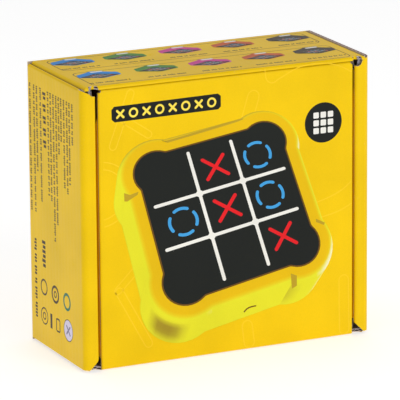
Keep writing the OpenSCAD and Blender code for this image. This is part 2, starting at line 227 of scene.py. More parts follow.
class Shader:
    """A node material with short ways to add the nodes that the materials below share."""

    def __init__(self, name, roughness=0.5, **inputs):
        self.material = bpy.data.materials.new(name)
        self.material.use_nodes = True
        self.tree = self.material.node_tree
        self.bsdf = self.tree.nodes["Principled BSDF"]
        self.bsdf.inputs["Roughness"].default_value = roughness
        for key, value in inputs.items():
            self.bsdf.inputs[key.replace("_", " ")].default_value = value
        self.place = self.tree.nodes.new("ShaderNodeTexCoord").outputs["Object"]

    def plug(self, socket, value):
        if isinstance(value, bpy.types.NodeSocket):
            self.tree.links.new(value, socket)
        else:
            socket.default_value = value

    def math(self, operation, a, b=0.0, c=0.0):
        node = self.tree.nodes.new("ShaderNodeMath")
        node.operation = operation
        for socket, value in zip(node.inputs, (a, b, c)):
            self.plug(socket, value)
        return node.outputs[0]

    def noise(self, scale, detail=3.0, roughness=0.5, stretch=None):
        vector = self.place
        if stretch:
            mapping = self.tree.nodes.new("ShaderNodeMapping")
            self.plug(mapping.inputs["Vector"], vector)
            mapping.inputs["Scale"].default_value = stretch
            vector = mapping.outputs[0]
        node = self.tree.nodes.new("ShaderNodeTexNoise")
        self.plug(node.inputs["Vector"], vector)
        for key, number in (("Scale", scale), ("Detail", detail), ("Roughness", roughness)):
            node.inputs[key].default_value = number
        return node.outputs["Fac"]

    def marks(self, scale, low, high):
        """Sparse marks: 1 where a fine noise is high."""
        return self.level(self.noise(scale, 6, 0.65), low, high)

    def flutes(self):
        """A wave that follows the board's flutes, from -1 to 1."""
        across = self.split(self.attribute("panel"))[0]
        return self.math("SINE", self.math("MULTIPLY", across, 2 * math.pi / FLUTE_PITCH))

    def level(self, value, low, high, to_low=0.0, to_high=1.0):
        node = self.tree.nodes.new("ShaderNodeMapRange")
        self.plug(node.inputs["Value"], value)
        for key, number in zip(("From Min", "From Max", "To Min", "To Max"), (low, high, to_low, to_high)):
            node.inputs[key].default_value = number
        return node.outputs[0]

    def mix(self, factor, a, b, blend="MIX"):
        node = self.tree.nodes.new("ShaderNodeMix")
        node.data_type, node.blend_type = "RGBA", blend
        self.plug(node.inputs["Factor"], factor)
        self.plug(node.inputs[6], a)
        self.plug(node.inputs[7], b)
        return node.outputs[2]

    def attribute(self, name, output="Vector"):
        node = self.tree.nodes.new("ShaderNodeAttribute")
        node.attribute_name = name
        return node.outputs[output]

    def split(self, vector):
        node = self.tree.nodes.new("ShaderNodeSeparateXYZ")
        self.plug(node.inputs[0], vector)
        return node.outputs

    def colour(self, value):
        self.plug(self.bsdf.inputs["Base Color"], value)

    def rough(self, value):
        self.plug(self.bsdf.inputs["Roughness"], value)

    def bump(self, *layers):
        """Each layer is (height, distance in metres)."""
        normal = None
        for height, distance in layers:
            node = self.tree.nodes.new("ShaderNodeBump")
            node.inputs["Distance"].default_value = distance
            self.plug(node.inputs["Height"], height)
            if normal:
                self.plug(node.inputs["Normal"], normal)
            normal = node.outputs[0]
        self.plug(self.bsdf.inputs["Normal"], normal)

    def grey(self, value):
        """A grey of this value, which may be a socket."""
        node = self.tree.nodes.new("ShaderNodeCombineColor")
        for socket in node.inputs:
            self.plug(socket, value)
        return node.outputs[0]


YELLOW = linear(244, 201, 0)
FILM = {"Specular_IOR_Level": 0.12}


def varied(shader, colour, amount=0.06):
    """A colour that drifts a little over the piece and is flecked by the paper's fibres."""
    drift = shader.level(shader.noise(35, 2), 0.3, 0.7, 1 - amount, 1 + amount)
    fleck = shader.level(shader.noise(2600, 2, 0.6), 0.25, 0.75, 1 - amount / 2, 1 + amount / 2)
    tint = shader.math("MULTIPLY", drift, fleck)
    return shader.mix(1.0, colour, shader.grey(tint), "MULTIPLY")


def laminate(shader):
    """The film over a print: soft gloss, fine orange peel, faint rubs, and flutes that just show through."""
    shader.rough(shader.level(shader.marks(160, 0.60, 0.72), 0, 1, 0.30, 0.46))
    shader.bump((shader.noise(700, 2), 0.000035), (shader.flutes(), 0.000010), (shader.noise(60, 2), 0.00025))


def print_material(name, colour):
    """One flat ink under the film."""
    shader = Shader(name, **FILM)
    shader.colour(varied(shader, colour))
    laminate(shader)
    return shader.material


def picture_material():
    """The printed pictures: their colours are the attribute "ink", with the grain of a screened print."""
    shader = Shader("printed_picture", **FILM)
    shader.colour(varied(shader, shader.attribute("ink", "Color"), 0.05))
    laminate(shader)
    return shader.material


def crease_material():
    """A rounded fold: the same print, cracked here and there down to the paper."""
    shader = Shader("folded_print", **FILM)
    cracks = shader.level(shader.noise(900, 5, 0.7), 0.62, 0.72)
    worn = shader.math("MULTIPLY", cracks, shader.level(shader.noise(60, 2), 0.45, 0.7))
    shader.colour(shader.mix(worn, varied(shader, YELLOW), linear(238, 214, 130)))
    shader.rough(shader.level(worn, 0, 1, 0.30, 0.7))
    shader.bump((shader.noise(500, 4), 0.00006))
    return shader.material


def paper_material(name, colour, dark):
    """Unprinted liner: matt, with lighter and darker fibres."""
    shader = Shader(name, roughness=0.85)
    fibre = shader.noise(2600, 5, 0.7, (0.3, 1, 1))
    blotch = shader.noise(25, 2)
    tone = shader.math("ADD", shader.math("MULTIPLY", fibre, 0.8), shader.math("MULTIPLY", blotch, 0.2))
    shader.colour(shader.mix(shader.level(tone, 0.3, 0.7), dark, colour))
    shader.bump((fibre, 0.00002), (shader.flutes(), 0.00002))
    return shader.material


def raw_edge_material():
    """A cut edge of the board: two liners with the fluted paper between them, and its open hollows painted
    dark as shade.
    """
    shader = Shader("raw_edge", roughness=0.9)
    height = shader.math("DIVIDE", shader.split(shader.attribute("panel"))[2], FACE)
    middle = shader.math("MULTIPLY_ADD", shader.flutes(), 0.28, 0.5)
    off = shader.math("ABSOLUTE", shader.math("SUBTRACT", height, middle))
    on_flute = shader.level(off, 0.09, 0.15, 1, 0)
    from_middle = shader.math("ABSOLUTE", shader.math("SUBTRACT", height, 0.5))
    on_liner = shader.level(from_middle, 0.30, 0.34)
    paper = shader.math("MAXIMUM", on_flute, on_liner)
    fibre = shader.level(shader.noise(2200, 4, 0.7), 0.3, 0.7)
    light = shader.mix(fibre, linear(192, 174, 168), linear(228, 214, 210))
    # Where there is no paper, the hollows get a dark brown as painted shade.
    shader.colour(shader.mix(paper, linear(70, 50, 40), light))
    shader.bump((paper, 0.00025), (fibre, 0.00004))
    return shader.material


def plastic(name, colour, roughness, peel=0.00003, **inputs):
    """Moulded plastic: a fine surface, a little colour drift, faint handling marks in the gloss."""
    shader = Shader(name, **inputs)
    shader.colour(varied(shader, colour, 0.03))
    shader.rough(shader.level(shader.marks(220, 0.58, 0.72), 0, 1, roughness, min(1, roughness + 0.16)))
    shader.bump((shader.noise(1600, 3), peel), (shader.noise(45, 2), 0.0001))
    return shader.material


def metal(name, colour, roughness):
    """Brushed or drawn metal."""
    shader = Shader(name, Metallic=1.0)
    brushed = shader.noise(900, 4, 0.6, stretch=(1, 1, 12))
    dark = [c * 0.75 for c in colour[:3]] + [1]
    shader.colour(shader.mix(shader.level(brushed, 0.3, 0.7), dark, colour))
    shader.rough(shader.level(brushed, 0.3, 0.7, roughness, roughness + 0.2))
    shader.bump((brushed, 0.00002))
    return shader.material


def inside_print_material():
    """The print inside the slots beside the lid, with a painted orange glow that stands in for light bouncing
    between yellow walls.
    """
    shader = Shader("inside_print", **FILM)
    shader.colour(varied(shader, YELLOW))
    laminate(shader)
    painted_glow_near_lid = shader.level(shader.split(shader.place)[1], -0.024, -0.012, 0.05, 0.0)
    # Painted glow: an orange emission, strongest next to the lid, in place of bounced light.
    shader.plug(shader.bsdf.inputs["Emission Color"], linear(186, 78, 0))
    shader.plug(shader.bsdf.inputs["Emission Strength"], painted_glow_near_lid)
    return shader.material


PRINT = print_material("yellow_print", YELLOW)
GLOWING_INSIDE_PRINT = inside_print_material()
CREASE = crease_material()
LINER_PAPER = paper_material("grey_liner", linear(196, 182, 164), linear(168, 152, 134))
RAW = raw_edge_material()
# Dark brown paper as painted shade: the left outer wall's edges lie in the shadow under the top wall's fold.
EDGE_SHADE_PAPER = paper_material("crushed_edge", linear(122, 84, 34), linear(84, 54, 20))
# Pale paper with a lilac tint: the liner's curled edges, with a painted glint in their colour.
CURL_PAPER_GLINT = paper_material("torn_liner_glint", linear(214, 214, 226), linear(150, 150, 176))
FLUTE_PAPER = paper_material("fluted_paper", linear(222, 204, 198), linear(176, 154, 146))
INK_COLOURS = {
    "pale": (251, 208, 36), "pale_mark": (255, 226, 84), "tan": (190, 158, 38), "grey": (120, 116, 150),
    "black": (28, 31, 28), "white": (240, 238, 230), "red": (232, 30, 36), "blue": (66, 160, 222),
    "brown": (112, 78, 22), "umber": (66, 46, 20), "green": (40, 118, 92), "lilac": (222, 214, 240)}
INKS = {name: print_material(name + "_ink", linear(*colour)) for name, colour in INK_COLOURS.items()}
INKS["picture"] = picture_material()


# ---------------------------------------------------------------- carton panels

CURL_CUT = 1.5             # the outer walls stop this far short of their CAD nodes, where the fold begins
STRIP = 6.7                # how wide the rolled edge shows on the front
STRIP_MITRE = (3.3, 4.1)   # how much it is cut back at its upper and lower inner corner
HOLE = (5.7, 117.1, 2.1)   # the relief hole: in from the side, height, radius
SOFT, TIGHT = 2.4, 1.25    # the radii of the rolled edge's outer and inner corner
LEAN = 0.2                 # how far the board's back lags at the inner corner

PRINTED, BARE, EDGE, FOLD, FLUTE = range(5)      # the places in a board's list of materials


def board_materials(face=PRINT, edge=RAW):
    return [face, LINER_PAPER, edge, CREASE, FLUTE_PAPER]


def panel_plane(node, normal, across):
    """The matrix from a panel's own right, up and outward to the scene's axes, and the panel's size."""
    up = normal.cross(across)
    low, high = (Vector(corner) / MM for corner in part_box(node))
    signs = across + up + normal
    origin = Vector([low[i] if signs[i] > 0 else high[i] for i in range(3)])
    plane = Matrix([(across[i], up[i], normal[i], origin[i]) for i in range(3)] + [(0, 0, 0, 1)])
    span = high - low
    return plane, abs(span.dot(across)), abs(span.dot(up))


def add_raw_edge(bm, side, x0, x1, height):
    """The last few millimetres of the board at its upper or lower side, with its flutes open."""
    start, stop = (height - LIP, height) if side == "t" else (0, LIP)
    for low, high, below, above in ((0, LINER, BARE, FLUTE), (FACE - LINER, FACE, FLUTE, PRINTED)):
        sides, _, under, over = add_slab(bm, rectangle(x0, start, x1, stop), low, high)
        for f in sides:
            f.material_index = EDGE
        under.material_index, over.material_index = below, above

    half_paper, setback = 0.1, 0.05
    reach = FACE / 2 - LINER - half_paper
    steps = int((x1 - x0) / FLUTE_PITCH * 10)
    first, last = start + setback, stop - setback
    rings = []
    for i in range(steps + 1):
        along = x0 + (x1 - x0) * i / steps
        middle = FACE / 2 + reach * math.sin(2 * math.pi * along / FLUTE_PITCH)
        low, high = middle - half_paper, middle + half_paper
        corners = ((along, first, low), (along, last, low), (along, last, high), (along, first, high))
        rings.append([bm.verts.new(p) for p in corners])
    for f in join_rings(bm, rings):
        f.material_index = FLUTE


SIDE_WAYS = {"l": -X, "r": X, "b": -Y, "t": Y}


def paint_board(sides, rounded, under, joined=""):
    """Raw edges on the sides, creases where the upper edge is rounded, and bare liner below.

    joined holds the sides where the board carries on into the next panel, and the print with it.
    """
    for f in sides + rounded:
        f.normal_update()
        covered = any(f.normal.dot(SIDE_WAYS[side]) > 0.9 for side in joined)
        f.material_index = FOLD if covered or abs(f.normal.z) > 0.02 else EDGE
    under.material_index = BARE


def board(node, body, normal, across, outlines=None, folds="", raw="", joined="", swap=False,
          radius=FOLD_RADIUS, cut=(0, 0), materials=None):
    """A board panel that stands for a CAD node. folds are its rounded sides, raw its sides with open flutes.

    cut is how much shorter it is than the CAD node at its left and right ends.
    """
    plane, width, height = panel_plane(node, normal, across)
    bm = bmesh.new()
    x0, x1 = cut[0], width - cut[1]
    if outlines is None:
        outlines = [rectangle(x0, LIP if "b" in raw else 0, x1, height - (LIP if "t" in raw else 0))]
    for outline in outlines:
        sides, rounded, under, _ = add_slab(bm, outline, 0, FACE, folds, radius, size=(width, height))
        paint_board(sides, rounded, under, joined)
    for side in raw:
        add_raw_edge(bm, side, x0, x1, height)
    materials = materials or board_materials()
    finish_piece(node + "_board", bm, body, materials, (node,), plane, swap)


def upside_down(outline, height):
    return [(x, height - y) for x, y in reversed(outline)]


def mirrored(outline, width):
    return [(width - x, y) for x, y in reversed(outline)]


def bitten(width, height, bite):
    """A panel outline with the same bite out of its two lower corners, given for the left one."""
    return bite + mirrored(bite, width) + [(width, height), (0, height)]


def scoop(cx, cy, r):
    """The lower left of a panel, with a round bite out of its lower side near the corner."""
    reach = math.degrees(math.asin(cy / r))
    return [(0, 0)] + on_arc(cx, cy, r, 180 + reach, -reach, 14)


def build_carton():
    width, height = panel_plane("lid_panel", -Y, X)[1:]
    outline = upside_down(bitten(width, height, on_arc(0, 0, 1.4, 90, 0, 10)), height)
    board("lid_panel", "lid", -Y, X, [outline], folds="lrbt", joined="t", radius=0.9)

    width, height = panel_plane("top_wall", Z, X)[1:]
    board("top_wall", "carton", Z, X, [bitten(width, height, scoop(4.0, 0.3, 2.1))], folds="lrb", joined="b")

    width, height = panel_plane("bottom_wall", -Z, X)[1:]
    outline = upside_down(bitten(width, height, scoop(3.3, -1.4, 3.0)), height)
    board("bottom_wall", "carton", -Z, X, [outline], folds="lr")

    build_base_panel()
    for side in ("left", "right"):
        build_side(side)


def build_base_panel():
    """The base panel, in columns round the slots that take the inner walls' tabs."""
    width, height = panel_plane("base_panel", Y, -X)[1:]
    near, far = 5.0, 6.9
    slots = ((28.8, 43.2), (72.8, 87.2))
    columns = ((0, near), (far, width - far), (width - near, width))
    outlines = [rectangle(x0, 0, x1, height) for x0, x1 in columns]
    levels = [0] + [z for slot in slots for z in slot] + [height]
    for x0, x1 in ((near, far), (width - far, width - near)):
        outlines += [rectangle(x0, levels[i], x1, levels[i + 1]) for i in (0, 2, 4)]
    board("base_panel", "carton", Y, -X, outlines, folds="lrbt")


def build_side(side):
    """A double side wall with its rolled front edge, its two ears, and the lid's wing on that side."""
    left = side == "left"
    way, across = (-X, -Y) if left else (X, Y)
    if left:
        # Its edges take the dark brown paper that paints the shadow under the top wall's fold.
        board("left_outer_wall", "carton", way, across, raw="b", folds="t", radius=1.0, cut=(0, CURL_CUT),
              materials=board_materials(edge=EDGE_SHADE_PAPER))
    else:
        board("right_outer_wall", "carton", way, across, raw="bt", cut=(CURL_CUT, 0))
    # The inner walls and the lid's wings carry the print with its painted glow.
    board(side + "_inner_wall", "carton", -way, -across, [inner_wall_outline(side)],
          materials=board_materials(GLOWING_INSIDE_PRINT))
    build_rolled_edge(side)

    for level in ("top", "bottom"):
        ear, corner = f"{level}_{side}_ear", 6.4
        width, height = panel_plane(ear, way, across)[1:]
        outline = [(0, 0), (width, 0), (width, height - corner), (width - corner, height), (corner, height),
                   (0, height - corner)]
        if level == "top":
            outline = upside_down(outline, height)
        board(ear, "carton", way, across, [outline], swap=True)

    wing = f"lid_{side}_wing"
    width, height = panel_plane(wing, way, across)[1:]
    outline = [(0, 0), (width * 0.6, 3), (width, 9), (width, height - 19), (width - 2, height - 17),
               (0, height)]
    board(wing, side + "_wing", way, across, [mirrored(outline, width) if left else outline],
          materials=board_materials(GLOWING_INSIDE_PRINT))


def rolled_profile():
    """Points on the rolled edge's outside and inside, in from the side and back from the front."""
    start, end = INK_ROOM + SOFT, STRIP - INK_ROOM - TIGHT
    outer = [(INK_ROOM, BOARD + CURL_CUT)] + on_arc(start, start, SOFT, 180, 270, 9)
    inner = [(BOARD, BOARD + CURL_CUT)] + on_arc(start, start, SOFT - FACE, 180, 270, 9)
    steps = 12
    for i in range(1, steps):
        x = start + (end - start) * i / steps
        outer.append((x, INK_ROOM))
        inner.append((x - LEAN * i / steps, BOARD))
    outer += on_arc(end, INK_ROOM + TIGHT, TIGHT, 270, 360, 6)
    inner += [(end - LEAN + LEAN * i / 6, BOARD) for i in range(7)]
    return outer, inner


def rolled_ends(x, foot, top):
    """Where the rolled edge starts and stops at a place this far in from the side."""
    low = foot + max(0, x - STRIP + STRIP_MITRE[1])
    high = top - STRIP_MITRE[0] * x / STRIP
    if abs(x - HOLE[0]) < HOLE[2]:
        high = min(high, HOLE[1] - math.sqrt(HOLE[2] ** 2 - (x - HOLE[0]) ** 2))
    return low, high


def build_rolled_edge(side):
    """The front edge of a double side wall: the board comes round a soft corner, across, and back inside."""
    node, way = side + "_rolled_edge", -1 if side == "left" else 1
    foot, top = (corner.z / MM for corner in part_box(node))
    outer, inner = rolled_profile()
    first_fold, last_fold = 10, len(outer) - 8
    bm = bmesh.new()
    layer = bm.verts.layers.float_vector.new("panel")
    columns, along = [], 0.0
    for i, (front, back) in enumerate(zip(outer, inner)):
        along += math.dist(front, outer[i - 1]) if i else 0
        column = []
        for point, through in ((front, FACE), (back, 0)):
            for z in rolled_ends(front[0], foot, top):
                v = bm.verts.new((way * (HALF_WIDTH - point[0]), point[1] - HALF_DEPTH, z))
                v[layer] = (along, z, through)
                column.append(v)
        columns.append(column)
    for i, (a, b) in enumerate(zip(columns, columns[1:])):
        outside = FOLD if i < first_fold or i >= last_fold else PRINTED
        for quad, material in (((a[0], b[0], b[1], a[1]), outside), ((a[2], a[3], b[3], b[2]), BARE),
                               ((a[1], b[1], b[3], a[3]), EDGE), ((a[0], a[2], b[2], b[0]), EDGE)):
            bm.faces.new(quad).material_index = material
    for column in (columns[0], columns[-1]):
        bm.faces.new((column[0], column[1], column[3], column[2])).material_index = EDGE
    finish_piece(node + "_board", bm, "carton", board_materials(), (node,))

    # Curled edges of the liner that show inside the relief hole, pale paper whose lilac tint is a painted
    # glint
    bm = bmesh.new()
    for r, start, stop in ((1.75, -70, 80), (1.15, -50, 60)):
        curl = on_arc(HALF_WIDTH - HOLE[0], HOLE[1], r, start, stop, 12)
        add_band(bm, curl, 0.22, 0, 0.5)
    plane = Matrix(((way, 0, 0, 0), (0, 0, 1, -26.45), (0, 1, 0, 0), (0, 0, 0, 1)))
    finish_piece(side + "_liner_curl", bm, "carton", [CURL_PAPER_GLINT], plane=plane)


def inner_wall_outline(side):
    """The inner wall with its two locking tabs, which reach back through the base panel."""
    left = side == "left"
    width, height = panel_plane(side + "_inner_wall", *((X, Y) if left else (-X, -Y)))[1:]
    body, half_tab = width - 1.3, 7
    outline = [(0, 5), (2.5, 4.5), (3.5, 0), (body, 0)]
    for middle in (34.3, 78.3):
        low, high = middle - half_tab, middle + half_tab
        outline += [(body, low), (width, low), (width, high), (body, high)]
    outline += [(body, height), (3.5, height), (2.5, height - 3.6), (0, height - 4.2)]
    return outline if left else mirrored(outline, width)


def build_tuck_flap():
    """The flap slopes up a little, so it gets its own plane. Its printed side is the lower one."""
    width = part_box("tuck_flap")[1].x * 2 / MM
    depth, slope, corner = 12, math.radians(5), 5
    along = Vector((0, math.cos(slope), math.sin(slope)))
    above = Vector((0, -math.sin(slope), math.cos(slope)))
    origin = Vector((-width / 2, -26.2, 1.7)) + along * depth + above * BOARD
    plane = Matrix([(X[i], -along[i], -above[i], origin[i]) for i in range(3)] + [(0, 0, 0, 1)])
    outline = bitten(width, depth, on_arc(corner, corner, corner, 180, 270, 8))
    bm = bmesh.new()
    sides, rounded, under, _ = add_slab(bm, outline, 0, FACE, "t", 1.0, size=(width, depth))
    paint_board(sides, rounded, under)
    finish_piece("tuck_flap_board", bm, "tuck", board_materials(), ("tuck_flap",), plane)


build_carton()
build_tuck_flap()


# ---------------------------------------------------------------- prints

class Artwork:
    """Flat inks on a panel. Places are millimetres to the right and down from an upper left corner.

    Every ink is a closed film. A higher level lies above a lower one.
    """

    FILM = 0.006

    def __init__(self, node, body, normal, across, left=0.0, top=0.0):
        self.node, self.body = node, body
        self.plane, self.width, self.height = panel_plane(node, normal, across)
        self.left, self.top = left, self.height + top
        self.films = {}

    def film(self, ink):
        return self.films.setdefault(ink, bmesh.new())

    def place(self, points):
        return [(self.left + x, self.top - y) for x, y in points]

    def heights(self, level):
        return FACE - 0.05, FACE + self.FILM * (level + 1)

    def fill(self, ink, outline, level=0):
        add_slab(self.film(ink), self.place(outline), *self.heights(level))

    def line(self, ink, path, width, level=0, closed=False):
        add_band(self.film(ink), self.place(path), width, *self.heights(level), closed=closed)

    def ring(self, ink, cx, cy, r, width, level=0):
        self.line(ink, disc(cx, cy, r), width, level, closed=True)

    def cross(self, ink, cx, cy, half, width, level=0):
        for s in (0, 1):
            rise = half * (2 * s - 1)
            self.fill(ink, capsule((cx - half, cy - rise), (cx + half, cy + rise), width), level + s)

    def words(self, ink, x, y, length, size, seed, upright=False):
        """Stands for a line of small print: groups of plain ticks of uneven height, with no letters."""
        at, step = 0.0, seed
        while at < length:
            step = (step * 7 + 3) % 11
            for k in range(2 + step % 5):
                tall = size * (0.42, 0.62, 0.42, 0.56)[(step + k) % 4]
                a, b = at, at + size * 0.36
                if b > length:
                    break
                if upright:
                    box = (x - tall, y + a, x + size * 0.3, y + b)
                else:
                    box = (x + a, y - tall, x + b, y + size * 0.3)
                self.fill(ink, rectangle(*box))
                at += size * 0.52
            at += size * 0.45

    def finish(self):
        for ink, bm in self.films.items():
            name = f"{self.node}_{ink}_print"
            finish_piece(name, bm, self.body, [INKS[ink]], plane=self.plane)


class Likeness:
    """A printed picture of the game unit, squashed flat onto an artwork.

    turn, tilt and lean are the angles in degrees from which the unit is seen, and scale is its size on paper.
    """

    RIM, BACK, THICK = 5.5, 3.5, 36
    DISTANCE = 500
    BASE, RELIEF = 0.03, 0.00042      # the height of the flattened shell, and how much of its depth is left

    def __init__(self, art, centre, scale, turn, tilt, lean):
        self.art, self.centre = art, Vector(centre)
        a, e, w = math.radians(turn), math.radians(tilt), math.radians(lean)
        right = Vector((math.cos(a), -math.sin(a), 0))
        up = Vector((math.sin(a) * math.sin(e), math.cos(a) * math.sin(e), math.cos(e)))
        self.right = (right * math.cos(w) - up * math.sin(w)) * scale
        self.up = (right * math.sin(w) + up * math.cos(w)) * scale
        self.toward = self.right.cross(self.up).normalized()

    def at(self, x, y, depth=0.0):
        """Where a point of the unit lies on the art. Nearer points are drawn larger."""
        point = Vector((x, y, -depth))
        nearer = self.DISTANCE / (self.DISTANCE - self.toward.dot(point))
        return (self.centre.x + self.right.dot(point) * nearer, self.centre.y - self.up.dot(point) * nearer)

    def flat(self, ink, outline, depth, level):
        self.art.fill(ink, [self.at(x, y, depth) for x, y in outline], level)

    def body(self, shade, steps=14):
        """The housing as a closed shell pressed flat, coloured by which way each part of it faces."""
        art, bm = self.art, self.art.film("picture")
        colour = bm.verts.layers.float_color.get("ink") or bm.verts.layers.float_color.new("ink")
        outline = lobed(54, 33, 23, steps=steps)
        normals = outward(outline)
        profile = [(0, 14, math.pi / 2)]
        for i in range(7):
            a = math.radians(15 * i)
            profile.append((self.RIM * (1 - math.cos(a)), self.RIM * (1 - math.sin(a)), math.pi / 2 - a))
        profile += [(self.THICK * part, 0, 0) for part in (0.3, 0.45, 0.6, 0.75)]
        profile += [(self.THICK - self.BACK, 0, 0), (self.THICK, self.BACK, -math.pi / 3)]
        rings = []
        for depth, inset, rise in profile:
            ring = []
            for (x, y), out in zip(outline, normals):
                px, py = x - out.x * inset, y - out.y * inset
                height = FACE + self.BASE + self.RELIEF * self.toward.dot(Vector((px, py, -depth)))
                vertex = bm.verts.new((*art.place([self.at(px, py, depth)])[0], height))
                facing = Vector((out.x * math.cos(rise), out.y * math.cos(rise), math.sin(rise)))
                vertex[colour] = shade(facing, depth)
                ring.append(vertex)
            rings.append(ring)
        list(join_rings(bm, rings))


def blend_colours(a, b, amount):
    return tuple(p + (q - p) * amount for p, q in zip(a, b))


def smooth(low, high, value):
    """Eases from 0 at low to 1 at high. low may be the larger one."""
    t = min(1.0, max(0.0, (value - low) / (high - low)))
    return t * t * (3 - 2 * t)


def lemon_shade(facing, depth):
    """How the yellow unit is lit in its picture on the lid."""
    colour = linear(232, 226, 40)
    turn = math.degrees(math.atan2(facing.y, facing.x)) % 360
    corner = smooth(196, 218, turn) * smooth(264, 238, turn) * smooth(3, 8, depth) * smooth(36, 18, depth)
    colour = blend_colours(colour, linear(150, 120, 36), corner * 0.85)
    colour = blend_colours(colour, linear(196, 160, 40), smooth(0.2, 0.9, facing.y))
    gleam = facing.dot(Vector((0.75, -0.55, 0.35)).normalized())
    colour = blend_colours(colour, linear(252, 248, 214), smooth(0.80, 0.98, gleam) * 0.8)
    colour = blend_colours(colour, linear(234, 190, 4), smooth(0.70, 0.98, facing.z))
    return colour


def tinted_shade(tint, dark):
    """How a thumbnail's unit is lit: a tinted front, darker sides."""
    def shade(facing, depth):
        colour = blend_colours(dark, tint, smooth(0.2, 0.9, facing.z))
        gleam = facing.dot(Vector((0, -0.5, 0.86)))
        return blend_colours(colour, linear(250, 246, 236), smooth(0.86, 1.0, gleam) * 0.4)
    return shade


def draw_unit(art, centre, scale, turn, tilt, lean, shade, fine=True):
    """The unit's picture: housing, black plate, white lines, and its crosses and rings."""
    unit = Likeness(art, centre, scale, turn, tilt, lean)
    unit.body(shade, 14 if fine else 6)
    unit.flat("brown", lobed(44.9, 33.4, 13.9, 3), 1, 10)
    unit.flat("black", lobed(44, 33.4, 13, 3), 1, 11)
    half_line, half_cross, depth = 39.5, 6.3, 0.6
    for s in (-1, 1):
        across = s * KEY_PITCH / 2
        unit.flat("white", capsule((across, -half_line), (across, half_line), 1.95), depth, 12)
        unit.flat("white", capsule((-half_line, across), (half_line, across), 1.95), depth, 13)
        for t in (-1, 1):
            unit.flat("white", disc(across, t * KEY_PITCH / 2, 2.1, 20), depth, 14)
    for cx, cy in ((0, KEY_PITCH), (0, 0), (KEY_PITCH, -KEY_PITCH)):
        for s in (0, 1):
            rise = half_cross * (2 * s - 1)
            stroke = capsule((cx - half_cross, cy - rise), (cx + half_cross, cy + rise), 2.1)
            unit.flat("red", stroke, depth, 12 + s)
    for cx, cy in ((KEY_PITCH, KEY_PITCH), (-KEY_PITCH, 0), (KEY_PITCH, 0)):
        for k in range(4):
            unit.flat("blue", dash(cx, cy, 7.9, 1.8, 90 * k - 30, 90 * k + 28), depth, 12)


def through(points, steps=6):
    """A smooth curve through points."""
    ends = [points[0]] + list(points) + [points[-1]]
    curve = []
    for a, b, c, d in zip(ends, ends[1:], ends[2:], ends[3:]):
        for i in range(steps):
            t = i / steps
            curve.append(tuple(0.5 * (2 * q + (r - p) * t + (2 * p - 5 * q + 4 * r - s) * t * t
                                      + (3 * q - p - 3 * r + s) * t ** 3) for p, q, r, s in zip(a, b, c, d)))
    return curve + [points[-1]]


HALF_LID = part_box("lid_panel")[1].x / MM
LID_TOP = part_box("lid_panel")[1].z / MM
TOP_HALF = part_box("top_wall")[1].x / MM


def build_lid_print():
    art = Artwork("lid_panel", "lid", -Y, X, left=HALF_LID - 57, top=HEIGHT - LID_TOP)
    line = 0.42
    for a, b, width in (((13.8, 4.4), (5.8, 25.4), 3.2), ((8, 13), (21.5, 22.2), 3.0),
                        ((68.6, 11.6), (65.4, 22), 5.2), ((65.3, 108.5), (66.2, 115.8), 4.6),
                        ((110.0, 94.5), (110.3, 116), 4.4), ((7.8, 86.5), (20.6, 110.0), 3.4),
                        ((7.2, 86.0), (15.6, 77.8), 3.0)):
        art.line("pale", capsule(a, b, width), line, closed=True)
    for r in (10.5, 13.5):
        art.line("pale", on_arc(0.2, 45, r, -84, 84, 24), line)
    art.line("pale", through([(73.8, 0.3), (74.6, 5.2), (77.4, 6.8), (81.2, 5.0), (90, 1.4), (100, 0.9),
                              (108, 3.0), (113.6, 6.0)]), line)
    art.line("pale", through([(96.8, 59.8), (104.6, 57.6), (109.5, 55.4), (113.6, 52.4)]), line)
    art.line("pale", through([(99.8, 66.2), (107.4, 64.6), (113.6, 62.0)]), line)

    # Banner: a rounded black bar with crosses and rings in place of a name
    art.fill("black", [(5.3, 10.4), (6.5, 9.1), (52.6, 8.6), (53.9, 9.7), (53.9, 14.1), (52.7, 15.2),
                       (6.7, 15.6), (5.4, 14.4)], 1)
    for k in range(8):
        x, y = 9.2 + k * 5.8, 12.4 - k * 0.06
        if k % 2:
            art.ring("pale_mark", x, y, 1.65, 0.85, 2)
        else:
            art.cross("pale_mark", x, y, 1.4, 0.95, 2)

    # Badge: a black disc with a little board of nine squares
    badge_x, badge_y, half = 100.5, 26.0, 1.25
    art.fill("black", disc(badge_x, badge_y, 8.5, 56), 1)
    for i in range(3):
        for j in range(3):
            x, y = badge_x + (i - 1) * 3.3, badge_y + (j - 1) * 3.3
            art.fill("white", round_box(x - half, y - half, x + half, y + half, 0.4, 3), 2)

    draw_unit(art, (56.74, 56.8), 0.785, 35.4, 61.0, -22.3, lemon_shade)
    # Shadows in the notches between the unit's lobes, and its thumb nick
    long_shadow = [(27.4, 25.2), (30, 25.6), (46, 23.0), (62.4, 20.3), (61.8, 21.2), (46, 24.0), (30, 26.6)]
    for outline in (through(long_shadow, 4),
                    [(10.4, 45.3), (13.0, 46.4), (16.8, 45.5), (16.4, 46.7), (11.8, 49.0), (10.5, 48.8)],
                    [(85.4, 88.6), (88.2, 89.9), (88.2, 94.2), (85.9, 95.3)],
                    [(97.0, 66.6), (101.2, 68.7), (100.8, 69.7), (97.1, 68.0)]):
        art.fill("tan", outline, 10)
    art.line("brown", through([(63.8, 102.4), (65.2, 101.2), (67.0, 100.6), (69.4, 100.4)]), 0.55, 10)
    art.finish()


